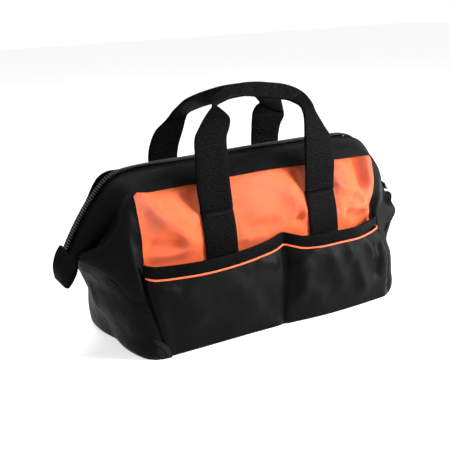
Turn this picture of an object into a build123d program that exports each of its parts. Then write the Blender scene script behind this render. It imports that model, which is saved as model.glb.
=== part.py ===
from build123d import *
import os
from math import acos, atan2, cos, degrees, hypot, radians, sin, tan

# A wide-mouth tool bag. X runs along its length, the front faces -Y and Z is up.
# The origin is the middle of the base where it meets the floor. All sizes are in millimetres.
# Front pieces are drawn, and rear pieces are their mirror images.

# Driving sizes of the body
base_length = 314.0
base_depth = 141.0
base_corner_radius = 18.0
ridge_height = 178.0
ridge_inset = 5.0
slope_run = 52.0
pivot_height = 102.0

# Cloth and the clearance between pieces
cloth = 1.6
gap = 0.3

# Front panel, between the base and the top band
panel_thickness = 2.8
panel_inset = 7.0
panel_taper = 2.0
panel_top_y = -37.0
panel_top_z = 161.0
panel_lean_in = 9.0
panel_top_slope = 0.62

# Base panel and the stiff board on it
base_panel_thickness = 2.4
board_thickness = 3.0
board_margin = 8.0

# Corner feet, and the rounding of the walls that clears them
foot_radius = 22.0
foot_wall = 2.8
foot_groove_width = 1.1
foot_groove_depth = 1.2
foot_groove_radii = [9.0, 15.5]
foot_clearance = 2.6

# Front pocket with two compartments
pocket_top = 97.0
pocket_bottom_gap = 3.0
pocket_bulge_low = 2.0
pocket_bulge_high = 14.0
binding_height = 12.5
binding_thickness = 2.6
piping_diameter = 2.4

# Handles, of one width of webbing
webbing_width = 38.0
webbing_thickness = 2.0
handle_spacing = 130.0
strap_bottom = 70.0
stitch_height = 134.0
tack_height = 2.0
tack_thickness = 0.6
handle_top = 253.0
fold_height = 229.0
fold_y = -17.0
handle_lean_in = 1.5
handle_shoulder_in = 10.6
handle_shoulder_drop = 4.0
handle_spans = 8
grip_height = 17.0
grip_thickness = 4.6

# Steel mouth frames and their pivots
tube_radius = 3.2
tube_drop = 6.5
tube_inset = 7.5
tube_bend_radius = 26.0
eye_radius = 4.0
eye_thickness = 1.2
rivet_radius = 3.4
rivet_length = 1.7
rivet_chamfer = 0.4

# Top band and leg sleeves that hold the frames
sleeve_bore = 6.0
sleeve_thickness = 1.5
sleeve_depth = 20.0
band_setback = 4.0
sleeve_open_angle = 105.0
sleeve_wrap = 195.0

# Zip
tape_bore = 4.8
tape_thickness = 0.8
tape_wrap = 110.0
coil_width = 3.8
coil_thickness = 2.4
coil_edge_radius = 0.9
coil_half_gap = 0.15
zip_end_height = 110.0
slider_length = 11.0
slider_width = 10.0
slider_plate = 1.5
slider_place = 17.5
lip_width = 0.8
lip_depth = 1.6
bail_radius = 1.0
bail_height = 5.0
bail_gap = 3.6
bail_cheek = 1.0
eye_wall = 0.8
pull_length = 29.5
pull_width = 7.5
pull_thickness = 1.5
pull_corner_radius = 2.2
pull_slot_width = 2.2
pull_splay = 6.0

# End tabs, folded over the ends of the zip
tab_length = 32.0
tab_thickness = 4.2
tab_edge_radius = 1.5
left_tab_lean = 20.0
left_tab_rise = 5.0
right_tab_lean = 3.0
right_tab_rise = -1.0

# Gusset folds
ear_inset = 2.0
ear_half_gap = 20.0
ear_height = 98.0
valley_height = 84.0
gusset_side_gap = 1.8
bulge_reach = 20.0
bulge_rise = 5.0
tuck_gap = 3.5
tuck_drop = 6.0
valley_inset = 3.0
side_inset = 2.4

# Places that follow from the sizes above
panel_half_width = base_length / 2 - panel_inset
panel_top_half_width = panel_half_width - panel_taper
ridge_length = base_length - 2 * ridge_inset
mouth_length = ridge_length + 2 * slope_run
wall_y = -base_depth / 2
wall_foot_z = base_panel_thickness + gap
pocket_bottom = wall_foot_z + pocket_bottom_gap
knee_y = wall_y + panel_lean_in
slope_fall = ridge_height - pivot_height
slope_length = hypot(slope_run, slope_fall)
slope_turn = degrees(atan2(slope_fall, slope_run))
slope_down = Vector(slope_run, 0, -slope_fall) / slope_length
slope_out = Vector(slope_fall, 0, slope_run) / slope_length
pivot_end = Vector(mouth_length / 2, 0, pivot_height)
tab_x = mouth_length / 2 + gap
rivet_x = tab_x - gap - rivet_length
rear_eye_x = rivet_x - gap - eye_thickness
front_eye_x = rear_eye_x - gap - eye_thickness
tube_y = -tube_inset
tube_z = ridge_height - tube_drop

pieces = {}


def keep(name, piece):
    """Names a finished piece and lists it for export."""
    piece.label = name
    pieces[name] = piece


def keep_both(name, piece):
    """Lists a front piece and its mirror image at the rear."""
    keep("front_" + name, piece)
    with BuildPart() as rear:
        mirror(piece, about=Plane.XZ)
    keep("rear_" + name, rear.part)


def wall_strip(near, far, low=wall_foot_z, high=panel_top_z, place_x=0):
    """Side view at place_x of a layer on the front wall, from near to far in front of its outer face."""
    with BuildSketch(Plane.YZ.offset(place_x), mode=Mode.PRIVATE) as strip:
        with BuildLine():
            for shift in (near, far):
                foot = (wall_y - shift, wall_foot_z)
                knee = (knee_y - shift, pocket_top)
                top = (panel_top_y - shift, panel_top_z)
                Line(foot, knee)
                Spline(knee, top, tangents=[(panel_lean_in, pocket_top - wall_foot_z), (panel_top_slope, 1.0)])
            Line((wall_y - near, wall_foot_z), (wall_y - far, wall_foot_z))
            Line((panel_top_y - near, panel_top_z), (panel_top_y - far, panel_top_z))
        make_face()
        with Locations((0, (low + high) / 2)):
            Rectangle(4 * base_depth, high - low, mode=Mode.INTERSECT)
    return strip.sketch


def wall_face_y(z):
    """Outer face of the straight lower part of the front wall at height z."""
    return wall_y + panel_lean_in * (z - wall_foot_z) / (pocket_top - wall_foot_z)


# Base panel, the flat bottom that the bag stands on
with BuildPart() as base_panel:
    with BuildSketch():
        RectangleRounded(base_length, base_depth, base_corner_radius)
    extrude(amount=base_panel_thickness)
keep("base_panel", base_panel.part)

# Stiff board that keeps the bottom flat from the inside
with BuildPart() as base_board:
    with BuildSketch(Plane.XY.offset(base_panel_thickness)):
        RectangleRounded(
            base_length - 2 * board_margin,
            base_depth - 2 * board_margin,
            base_corner_radius - board_margin / 2,
        )
    extrude(amount=board_thickness)
keep("base_board", base_board.part)


def foot_ring(inner, outer):
    """Upright ring around the base, between two offsets from its outline."""
    with BuildSketch(mode=Mode.PRIVATE) as ring:
        RectangleRounded(base_length + 2 * outer, base_depth + 2 * outer, base_corner_radius + outer)
        RectangleRounded(
            base_length + 2 * inner, base_depth + 2 * inner, base_corner_radius + inner, mode=Mode.SUBTRACT
        )
    return ring.sketch


# Ribbed corner feet: round patches on the corners, with a groove between each two ribs
for foot_name, side_x, side_y in (
    ("front_left_foot", -1, -1),
    ("front_right_foot", 1, -1),
    ("rear_left_foot", -1, 1),
    ("rear_right_foot", 1, 1),
):
    corner = Location((side_x * base_length / 2, side_y * base_depth / 2, 0))
    with BuildPart() as foot:
        add(foot_ring(gap, gap + foot_wall))
        extrude(amount=foot_radius)
        with Locations(corner):
            Sphere(foot_radius, mode=Mode.INTERSECT)
    foot_body = foot.part
    for groove_radius in foot_groove_radii:
        with BuildPart() as groove:
            add(foot_ring(gap + foot_wall - foot_groove_depth, gap + 2 * foot_wall))
            extrude(amount=foot_radius)
            with Locations(corner):
                Sphere(groove_radius + foot_groove_width, mode=Mode.INTERSECT)
                Sphere(groove_radius, mode=Mode.SUBTRACT)
        foot_body = foot_body - groove.part
    keep(foot_name, foot_body)


def corner_clearance():
    """Balls around the two front corners of the base, cut from the cloth so that the feet stay clear."""
    with Locations((-base_length / 2, wall_y, 0), (base_length / 2, wall_y, 0)):
        Sphere(foot_radius + foot_clearance, mode=Mode.SUBTRACT)


# Front panel: straight behind the pocket, then curving in to the top band
with BuildPart() as panel:
    extrude(wall_strip(-panel_thickness, 0), amount=panel_half_width, dir=(1, 0, 0), both=True)
    with BuildSketch(Plane.XZ):
        with BuildLine():
            Polyline(
                (-panel_half_width, wall_foot_z),
                (panel_half_width, wall_foot_z),
                (panel_top_half_width, panel_top_z),
                (-panel_top_half_width, panel_top_z),
                close=True,
            )
        make_face()
    extrude(amount=base_depth, both=True, mode=Mode.INTERSECT)
    corner_clearance()
keep_both("panel", panel.part)

# Pocket: one cloth sewn at its sides, its foot and its middle, so that each half bulges
piping_low = pocket_top - binding_height - piping_diameter


def pocket_plan(z, bulge, inner, outer):
    """Plan of a layer of the pocket at height z, between two offsets from its inner face."""
    back_y = wall_face_y(z) - gap
    with BuildSketch(Plane.XY.offset(z), mode=Mode.PRIVATE) as plan:
        with BuildLine():
            for offset_y in (inner, outer):
                for start_x in (-panel_half_width, 0):
                    ThreePointArc(
                        (start_x, back_y - offset_y),
                        (start_x + panel_half_width / 2, back_y - offset_y - bulge),
                        (start_x + panel_half_width, back_y - offset_y),
                    )
            for end_x in (-panel_half_width, panel_half_width):
                Line((end_x, back_y - inner), (end_x, back_y - outer))
        make_face()
    return plan.sketch


with BuildPart() as pocket:
    add(pocket_plan(pocket_bottom, pocket_bulge_low, 0, cloth))
    add(pocket_plan(piping_low, pocket_bulge_high, 0, cloth))
    loft(ruled=True)
    corner_clearance()
keep_both("pocket", pocket.part)

# Piping under the pocket's binding, and the binding itself
lean_up = Vector(0, panel_lean_in, pocket_top - wall_foot_z).normalized()
with BuildPart() as piping:
    add(pocket_plan(piping_low, pocket_bulge_high, 0, piping_diameter))
    extrude(amount=piping_diameter / lean_up.Z, dir=lean_up)
keep_both("pocket_piping", piping.part)

with BuildPart() as binding:
    add(pocket_plan(pocket_top - binding_height, pocket_bulge_high, 0, binding_thickness))
    extrude(amount=binding_height / lean_up.Z, dir=lean_up)
keep_both("pocket_binding", binding.part)

# Sewn-down lower ends of the handle webbing, with a bar of stitches across the top of each
tack_top = stitch_height - tack_height
tack_margin = 2 * tack_height
for side_name, side_x in (("left", -1), ("right", 1)):
    strap_edge = side_x * handle_spacing / 2 - webbing_width / 2
    with BuildPart() as strap:
        strap_side = wall_strip(gap, gap + webbing_thickness, strap_bottom, stitch_height, strap_edge)
        extrude(strap_side, amount=webbing_width, dir=(1, 0, 0))
        top_edges = strap.edges().filter_by(Axis.X).group_by(Axis.Z)[-1]
        chamfer(top_edges.sort_by(Axis.Y)[0], webbing_thickness / 2)
    keep_both(side_name + "_strap", strap.part)

    tack_near = gap + webbing_thickness
    with BuildPart() as tack:
        tack_side = wall_strip(
            tack_near, tack_near + tack_thickness, tack_top - tack_height, tack_top, strap_edge + tack_margin
        )
        extrude(tack_side, amount=webbing_width - 2 * tack_margin, dir=(1, 0, 0))
    keep_both(side_name + "_bar_tack", tack.part)

# Free part of each handle: a curved sheet of webbing, cut to the legs and to the folded grip.
# Its round foot stands on the bar tack, where the webbing bends.
strap_back = pieces["front_left_strap"].vertices().group_by(Axis.Z)[-1].sort_by(Axis.Y)[-1]
handle_hinge = (strap_back.Y - webbing_thickness / 2, stitch_height + gap + webbing_thickness / 2)
grip_y = -gap / 2 - grip_thickness / 2
handle_line = [
    handle_hinge,
    (handle_hinge[0] + handle_lean_in, ridge_height),
    (handle_hinge[0] / 2 + fold_y, (ridge_height + handle_top) / 2 - grip_height / 4),
    (fold_y, handle_top - grip_height),
    (grip_y, handle_top - grip_thickness / 2),
]


def handle_sheet(thickness):
    """Side view of a layer along the free handle, half its thickness to each side of the line."""
    with BuildLine(mode=Mode.PRIVATE) as middle:
        Spline(*handle_line)
    middle_wire = middle.wires()[0]
    steps = [step / handle_spans for step in range(handle_spans + 1)]
    with BuildSketch(Plane.YZ, mode=Mode.PRIVATE) as sheet:
        with BuildLine():
            sides = []
            for side in (-0.5, 0.5):
                points = []
                for step in steps:
                    along = middle_wire % step
                    points.append(middle_wire @ step + Vector(-along.Y, along.X) * side * thickness)
                sides.append(Spline(*points))
            Line(sides[0] @ 0, sides[1] @ 0)
            Line(sides[0] @ 1, sides[1] @ 1)
        make_face()
        with Locations(handle_hinge):
            Circle(thickness / 2)
    return sheet.sketch


leg_outer = (handle_spacing + webbing_width) / 2
leg_inner = (handle_spacing - webbing_width) / 2
with BuildSketch(Plane.XZ) as handle_front:
    with BuildLine():
        outer_bend = Spline(
            (leg_outer, ridge_height),
            (leg_outer - handle_shoulder_in, fold_height - handle_shoulder_drop),
            (0, handle_top),
            tangents=[(0, 1), (-1, 0)],
        )
        inner_bend = Spline(
            (leg_inner, ridge_height + grip_height),
            (leg_inner - handle_shoulder_in, fold_height),
            (0, handle_top - grip_height),
            tangents=[(0, 1), (-1, 0)],
        )
        Line(outer_bend @ 1, inner_bend @ 1)
        Polyline(outer_bend @ 0, (leg_outer, 0), (leg_inner, 0), inner_bend @ 0)
    make_face()
    mirror(about=Plane.YZ)

for side_name, side_x in (("left", -1), ("right", 1)):
    with BuildPart() as leg:
        extrude(handle_sheet(webbing_thickness), amount=base_length, dir=(side_x, 0, 0))
        extrude(handle_front.sketch, amount=base_depth, dir=(0, -1, 0), mode=Mode.INTERSECT)
        split(bisect_by=Plane.XY.offset(fold_height), keep=Keep.BOTTOM)
    keep_both("handle_" + side_name + "_leg", leg.part)

with BuildPart() as grip:
    extrude(handle_sheet(grip_thickness), amount=base_length, dir=(1, 0, 0), both=True)
    extrude(handle_front.sketch, amount=base_depth, dir=(0, -1, 0), mode=Mode.INTERSECT)
    split(bisect_by=Plane.XY.offset(fold_height), keep=Keep.TOP)
keep_both("handle_grip", grip.part)


# The mouth: everything here is swept along the ridge, down both slopes to the pivots.
# A profile is drawn as seen along the ridge: its first axis is Y and its second points outwards.
def ridge_line(low_height, top_only=False):
    """Ridge and slopes down to low_height, or the right-hand slope alone from the end of the straight top."""
    low_x = mouth_length / 2 - (low_height - pivot_height) * slope_run / slope_fall
    with BuildLine(mode=Mode.PRIVATE) as line:
        if top_only:
            FilletPolyline(
                (band_end_x, 0, ridge_height),
                (ridge_length / 2, 0, ridge_height),
                (low_x, 0, low_height),
                radius=ridge_bend_radius,
            )
        else:
            FilletPolyline(
                (-low_x, 0, low_height),
                (-ridge_length / 2, 0, ridge_height),
                (ridge_length / 2, 0, ridge_height),
                (low_x, 0, low_height),
                radius=ridge_bend_radius,
            )
    return line.wires()[0]


def across(path):
    """Sketch plane at the start of a path, with its first axis along Y."""
    return Plane(path @ 0, x_dir=(0, 1, 0), z_dir=path % 0)


ridge_bend_radius = tube_bend_radius + tube_drop
band_end_x = ridge_length / 2 - ridge_bend_radius * tan(radians(slope_turn / 2)) - band_setback
zip_path = ridge_line(zip_end_height)
frame_path = ridge_line(pivot_height - tube_drop)
tube_centre = (tube_y, -tube_drop)


def mouth_frame(eye_x):
    """Steel tube bent to the shape of the mouth, with a flat eye on each end for the pivot."""
    with BuildPart() as frame:
        with BuildSketch(across(frame_path)):
            with Locations(tube_centre):
                Circle(tube_radius)
        sweep(path=frame_path)
        tube_end_z = ridge_height - tube_drop - slope_fall / slope_run * (
            eye_x - ridge_length / 2 + tube_drop * tan(radians(slope_turn / 2))
        )
        for side in (-1, 1):
            split(bisect_by=Plane.YZ.offset(side * eye_x), keep=Keep.TOP if side < 0 else Keep.BOTTOM)
        for side in (-1, 1):
            with BuildSketch(Plane.YZ.offset(side * eye_x)) as eye:
                with BuildLine():
                    Line((tube_y, tube_end_z), (0, pivot_height))
                    offset(amount=eye_radius)
                make_face()
            extrude(eye.sketch, amount=eye_thickness, dir=(side, 0, 0))
    return frame.part


keep("front_frame_tube", mouth_frame(front_eye_x))
with BuildPart() as rear_tube:
    mirror(mouth_frame(rear_eye_x), about=Plane.XZ)
keep("rear_frame_tube", rear_tube.part)


def sleeve_ring(inner, outer, start, wrap):
    """Part of a ring around the tube, drawn across the ridge."""
    CenterArc(tube_centre, inner, start, wrap)
    CenterArc(tube_centre, outer, start, wrap)
    for angle in (start, start + wrap):
        turn = Vector(cos(radians(angle)), sin(radians(angle)))
        Line(Vector(*tube_centre) + turn * inner, Vector(*tube_centre) + turn * outer)


# Zip tape: wrapped over the tube inside the sleeve, and level out to the coil
tape_rim = tape_bore + tape_thickness
with BuildPart() as tape:
    with BuildSketch(across(zip_path)):
        with BuildLine():
            sleeve_ring(tape_bore, tape_rim, 90, tape_wrap)
        make_face()
        tape_reach = tube_inset - coil_half_gap - coil_width
        with Locations((tube_y + tape_reach / 2, -tube_drop + tape_bore + tape_thickness / 2)):
            Rectangle(tape_reach, tape_thickness)
    sweep(path=zip_path)
keep_both("zip_tape", tape.part)

# Zip coil: half of the closed chain
with BuildPart() as coil:
    with BuildSketch(across(zip_path)):
        with Locations((-coil_half_gap - coil_width / 2, 0)):
            RectangleRounded(coil_width, coil_thickness, coil_edge_radius)
    sweep(path=zip_path)
keep_both("zip_coil", coil.part)

# Leg sleeves: cloth around the frame on the corners and slopes
sleeve_rim = sleeve_bore + sleeve_thickness - gap
with BuildPart() as leg_sleeve:
    sleeve_path = ridge_line(zip_end_height, top_only=True)
    with BuildSketch(across(sleeve_path)):
        with BuildLine():
            sleeve_ring(sleeve_bore, sleeve_rim, sleeve_open_angle, sleeve_wrap)
        make_face()
        with Locations((tube_y - sleeve_rim + cloth / 2, -(tube_drop + sleeve_depth) / 2)):
            Rectangle(cloth, sleeve_depth - tube_drop)
    sweep(path=sleeve_path)
keep_both("right_leg_sleeve", leg_sleeve.part)
with BuildPart() as left_sleeve:
    mirror(leg_sleeve.part, about=Plane.YZ)
keep_both("left_leg_sleeve", left_sleeve.part)

# Top band: the cloth between the panel and the ridge, with a sleeve in which the tube turns
tube_axis = Vector(tube_y, tube_z)
band_foot_out = Vector(panel_top_y, panel_top_z + gap)
band_foot_in = Vector(panel_top_y + panel_thickness, panel_top_z + gap)


def rim_point(angle):
    """Point on the outside of the sleeve, at an angle around the tube as seen along X."""
    return tube_axis + Vector(cos(radians(angle)), sin(radians(angle))) * sleeve_rim


def touch_angle(point, side):
    """Angle at which a straight line from the point touches the outside of the sleeve."""
    to_point = point - tube_axis
    return degrees(atan2(to_point.Y, to_point.X)) % 360 + side * degrees(acos(sleeve_rim / to_point.length))


touch_top = touch_angle(band_foot_out, -1)
touch_low = touch_angle(band_foot_in, 1)
sleeve_end_angle = sleeve_open_angle + sleeve_wrap
with BuildPart() as band:
    with BuildSketch(Plane.YZ.offset(-band_end_x + gap)) as band_side:
        with BuildLine():
            bore_arc = CenterArc(tube_axis, sleeve_bore, sleeve_open_angle, sleeve_wrap)
            Line(bore_arc @ 0, rim_point(sleeve_open_angle))
            CenterArc(tube_axis, sleeve_rim, sleeve_open_angle, touch_top - sleeve_open_angle)
            Polyline(rim_point(touch_top), band_foot_out, band_foot_in, rim_point(touch_low))
            CenterArc(tube_axis, sleeve_rim, touch_low, sleeve_end_angle - touch_low)
            Line(bore_arc @ 1, rim_point(sleeve_end_angle))
        make_face()
    extrude(band_side.sketch, amount=2 * (band_end_x - gap), dir=(1, 0, 0))
keep_both("top_band", band.part)

# End tabs: webbing folded over the ends of the zip. The left one hangs out, the right one nearly straight.
def end_tab(lean, top_z):
    """Tab on the right-hand end, leaning outwards by an angle from its top height."""
    down = Vector(sin(radians(lean)), 0, -cos(radians(lean)))
    with BuildPart() as tab:
        with BuildSketch(Plane((tab_x, 0, top_z), x_dir=down, z_dir=(0, -1, 0))) as tab_side:
            with Locations((tab_length / 2, tab_thickness / 2)):
                RectangleRounded(tab_length, tab_thickness, tab_edge_radius)
        extrude(tab_side.sketch, amount=webbing_width / 2, both=True)
    return tab.part


keep("right_end_tab", end_tab(right_tab_lean, pivot_height + right_tab_rise))
with BuildPart() as left_tab:
    mirror(end_tab(left_tab_lean, pivot_height + left_tab_rise), about=Plane.YZ)
keep("left_end_tab", left_tab.part)

# Heads of the rivets that pin the two frames together
with BuildPart() as right_rivet:
    with BuildSketch(Plane.YZ.offset(rivet_x)):
        with Locations((0, pivot_height)):
            Circle(rivet_radius)
    extrude(amount=rivet_length)
    chamfer(right_rivet.edges().sort_by(Axis.X)[-1], rivet_chamfer)
keep("right_pivot_rivet", right_rivet.part)


def under_sleeve(z):
    """X of the cloth's tuck at height z, just inside the lower edge of a leg sleeve."""
    edge_x = ridge_length / 2 - sleeve_depth * tan(radians(slope_turn / 2))
    return edge_x + (ridge_height - sleeve_depth - z) * slope_run / slope_fall - tuck_gap


# Gussets: each end folds in under the slope of the mouth, with an ear of cloth in front and behind
ear_reach = mouth_length / 2 - ear_inset
gusset_side_x = panel_half_width + gusset_side_gap
side_foot = (base_length / 2 - side_inset, wall_y + base_corner_radius / 2, wall_foot_z)
corner_low = (gusset_side_x + cloth, wall_face_y(pocket_bottom) + cloth, foot_radius + 3 * foot_clearance)
corner_mid = (gusset_side_x, wall_face_y(pocket_top), pocket_top)
corner_top = (gusset_side_x - cloth, panel_top_y, panel_top_z - 2 * cloth)
bulge_z = (panel_top_z + ear_height) / 2 + bulge_rise
ear_middle = (gusset_side_x + bulge_reach, panel_top_y - 2 * cloth, bulge_z)
ear_tip = (ear_reach, -ear_half_gap, ear_height)
valley_end = (ear_reach - valley_inset, 0.0, valley_height)
tuck_y = tube_y - sleeve_rim
tuck_places = [panel_top_z - tuck_drop, bulge_z - tuck_drop, ear_height - tuck_drop]
tuck_top, tuck_middle, tuck_low = [(under_sleeve(z), tuck_y, z) for z in tuck_places]
side_middle = (side_foot[0], 0.0, wall_foot_z)
front_facets = [
    (side_foot, corner_low, ear_tip),
    (corner_low, corner_mid, ear_tip),
    (corner_mid, ear_middle, ear_tip),
    (corner_mid, corner_top, ear_middle),
    (corner_top, tuck_top, tuck_middle),
    (corner_top, tuck_middle, ear_middle),
    (ear_middle, tuck_middle, tuck_low),
    (ear_middle, tuck_low, ear_tip),
    (ear_tip, tuck_low, valley_end),
    (side_foot, ear_tip, valley_end),
    (side_foot, valley_end, side_middle),
]
with BuildPart() as right_gusset:
    for corners in front_facets:
        facet = Face(Wire.make_polygon([Vector(*corner) for corner in corners], close=True))
        extrude(facet, amount=cloth, dir=(-1, 0, 0))
    corner_clearance()
    mirror(about=Plane.XZ)
keep("right_gusset", right_gusset.part)

for name in ("pivot_rivet", "gusset"):
    with BuildPart() as left_piece:
        mirror(pieces["right_" + name], about=Plane.YZ)
    keep("left_" + name, left_piece.part)

# Zip slider on the right-hand slope. In its plane X points up the slope, Y to the front and Z outwards.
slider_centre = pivot_end - slope_down * slider_place
slider_plane = Plane(slider_centre, x_dir=-slope_down, z_dir=slope_out)
slider_low = coil_thickness / 2 + gap
slider_high = slider_low + slider_plate
bail_x = -slider_length / 4
pin_height = slider_high + bail_height - bail_radius
with BuildPart() as slider:
    with BuildSketch(slider_plane.offset(slider_low)):
        SlotOverall(slider_length, slider_width)
    extrude(amount=slider_plate)
    with BuildSketch(slider_plane.offset(slider_low)):
        with Locations((0, coil_half_gap + coil_width + gap + lip_width / 2)):
            Rectangle(slider_length / 2, lip_width)
    extrude(amount=-lip_depth)
    with BuildSketch(slider_plane.offset(slider_high)):
        with Locations((bail_x, (bail_gap + bail_cheek) / 2), (bail_x, -(bail_gap + bail_cheek) / 2)):
            Rectangle(3 * bail_radius, bail_cheek)
    extrude(amount=bail_height)
    pin_plane = Plane(slider_plane.from_local_coords((bail_x, 0, pin_height)), x_dir=-slope_down, z_dir=(0, 1, 0))
    with BuildSketch(pin_plane) as pin_end:
        Circle(bail_radius)
    extrude(pin_end.sketch, amount=bail_gap / 2 + bail_cheek / 2, both=True)
keep("zip_slider", slider.part)

# Pull tab: an eye around the slider's pin, a neck between its cheeks and a slotted plate
pull_neck = bail_radius + eye_wall + 2 * pull_thickness
with BuildPart() as pull:
    with BuildSketch(slider_plane.offset(pin_height - pull_thickness / 2)):
        with Locations(Location((bail_x, 0, 0), (0, 0, -pull_splay))):
            with Locations((-pull_neck / 2, 0)):
                Rectangle(pull_neck, bail_gap - 4 * gap)
            with Locations((-(pull_neck + pull_length) / 2, 0)):
                RectangleRounded(pull_length - pull_neck, pull_width, pull_corner_radius)
            with Locations((-pull_length + pull_width, 0)):
                SlotOverall(pull_width, pull_slot_width, mode=Mode.SUBTRACT)
    extrude(amount=pull_thickness)
    with BuildSketch(pin_plane) as eye_end:
        Circle(bail_radius + 2 * gap + eye_wall)
    extrude(eye_end.sketch, amount=bail_gap / 2 - gap, both=True)
    with BuildSketch(pin_plane) as eye_hole:
        Circle(bail_radius + gap / 2)
    extrude(eye_hole.sketch, amount=bail_gap, both=True, mode=Mode.SUBTRACT)
keep("zip_pull", pull.part)

os.makedirs("parts", exist_ok=True)
for name, piece in pieces.items():
    export_step(piece, f"parts/{name}.step")
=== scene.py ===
import math

import bpy
from mathutils import Matrix, Vector, noise


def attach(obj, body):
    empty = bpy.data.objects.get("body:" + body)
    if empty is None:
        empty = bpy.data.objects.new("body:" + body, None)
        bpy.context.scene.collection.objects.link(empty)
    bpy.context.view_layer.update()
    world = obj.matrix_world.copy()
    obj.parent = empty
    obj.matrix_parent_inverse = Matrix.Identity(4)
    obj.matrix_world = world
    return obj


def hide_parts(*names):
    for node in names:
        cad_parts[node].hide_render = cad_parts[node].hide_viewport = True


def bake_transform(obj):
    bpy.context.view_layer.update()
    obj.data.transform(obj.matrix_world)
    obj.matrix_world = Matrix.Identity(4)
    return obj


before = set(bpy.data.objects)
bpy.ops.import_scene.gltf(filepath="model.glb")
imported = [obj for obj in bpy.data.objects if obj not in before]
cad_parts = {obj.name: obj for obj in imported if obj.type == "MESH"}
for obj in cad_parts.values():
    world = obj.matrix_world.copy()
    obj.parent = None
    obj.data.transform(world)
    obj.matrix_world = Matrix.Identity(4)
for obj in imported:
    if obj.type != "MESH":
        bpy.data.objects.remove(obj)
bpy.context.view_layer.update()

# Wide-mouth tool bag. Lengths are in millimetres, and made into metres when a mesh or a place is made.
MM = 0.001

# Sizes that the frame already fixes
WALL_FOOT_Y = -70.5
WALL_FOOT_Z = 2.7
KNEE_Y = -61.5
KNEE_Z = 97.0
PANEL_TOP_Y = -37.0
PANEL_TOP_Z = 161.0
TOP_SLOPE = 0.62
PIVOT_Z = 102.0
TUBE_Y = -7.5
TUBE_DROP = 6.5
SLEEVE_RADIUS = 7.3
WEBBING = 38.0
HANDLE_X = 65.0
STITCH_Z = 134.0

CLOTH = 1.4


def metres(x, y, z):
    """A point written in millimetres, in metres."""
    return Vector((x, y, z)) * MM


# ---- curves and grids


def curve_through(points, count):
    """count points along a smooth curve through the given ones, with as many to each span."""
    points = [Vector(p) for p in points]
    ends = [2 * points[0] - points[1], *points, 2 * points[-1] - points[-2]]
    spans = len(points) - 1
    made = []
    for i in range(count):
        place = i * spans / (count - 1)
        k = min(int(place), spans - 1)
        t = place - k
        a, b, c, d = ends[k:k + 4]
        low_order = 2 * b + (c - a) * t + (2 * a - 5 * b + 4 * c - d) * t * t
        made.append(0.5 * (low_order + (3 * b - a - 3 * c + d) * t ** 3))
    return made


def patch(rows, across, along):
    """Grid of points on a smooth surface through rows of control points."""
    fine = [curve_through(row, across) for row in rows]
    columns = [curve_through(column, along) for column in zip(*fine)]
    return [list(row) for row in zip(*columns)]


def flipped(line, x=1, y=1):
    """The line's mirror image: in X when x is -1, in Y when y is -1, or both."""
    return [Vector((p.x * x, p.y * y, p.z)) for p in line]


def mirrored(grid, x=1, y=1):
    """The grid's mirror image in X, Y or both, with its outer side still outside."""
    rows = [flipped(row, x, y) for row in grid]
    return [row[::-1] for row in rows] if x * y < 0 else rows


def grid_normals(grid):
    """Unit normal at every point of a grid."""
    rows, columns = len(grid), len(grid[0])
    normals = []
    for j in range(rows):
        line = []
        for i in range(columns):
            across = grid[j][min(i + 1, columns - 1)] - grid[j][max(i - 1, 0)]
            along = grid[min(j + 1, rows - 1)][i] - grid[max(j - 1, 0)][i]
            line.append(across.cross(along).normalized())
        normals.append(line)
    return normals


def pushed(grid, amount):
    """The grid with each point moved along its normal by amount(point), in millimetres."""
    normals = grid_normals(grid)
    return [[p + n * amount(p) for p, n in zip(row, line)] for row, line in zip(grid, normals)]


def smooth(x):
    """Smooth step from 0 to 1."""
    x = max(0.0, min(1.0, x))
    return x * x * (3 - 2 * x)


def bump_at(value, middle, width):
    """1 at the middle, fading to 0 over width on both sides."""
    return smooth(1 - abs(value - middle) / width)


def fold(p, x_start, z_start, x_end, z_end, width, height):
    """Height at point p of a soft fold between two places in X and Z. It fades at both ends."""
    a, b = Vector((x_start, 0, z_start)), Vector((x_end, 0, z_end))
    line = b - a
    t = (p - a).dot(line) / line.length_squared
    off = (p - (a + line * max(0.0, min(1.0, t)))).length / width
    fade = smooth(t / 0.3 + 0.15) * smooth((1 - t) / 0.3 + 0.15)
    return height * math.exp(-off * off) * fade


def mottle(p, size, seed=0.0):
    """Smooth unevenness from -1 to 1 with features of the given size."""
    return noise.noise(p / size + Vector((seed, 1.7 * seed, 0.3 * seed)))


# ---- meshes


def make_mesh(name, points, faces, uvs=None):
    """A smooth-shaded object from points in millimetres. uvs gives one UV in millimetres per point."""
    mesh = bpy.data.meshes.new(name)
    mesh.from_pydata([p * MM for p in points], [], faces)
    layer = mesh.uv_layers.new(name="cloth")
    for loop in mesh.loops:
        u, v = uvs[loop.vertex_index] if uvs else (0.0, 0.0)
        layer.data[loop.index].uv = (u * MM, v * MM)
    for polygon in mesh.polygons:
        polygon.use_smooth = True
    mesh.update()
    piece = bpy.data.objects.new(name, mesh)
    bpy.context.scene.collection.objects.link(piece)
    return piece


def lengths_from(line, start=0):
    """Length along a line to each of its points, counted from point number start."""
    lengths = [0.0]
    for a, b in zip(line, line[1:]):
        lengths.append(lengths[-1] + (b - a).length)
    return [length - lengths[start] for length in lengths]


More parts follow.
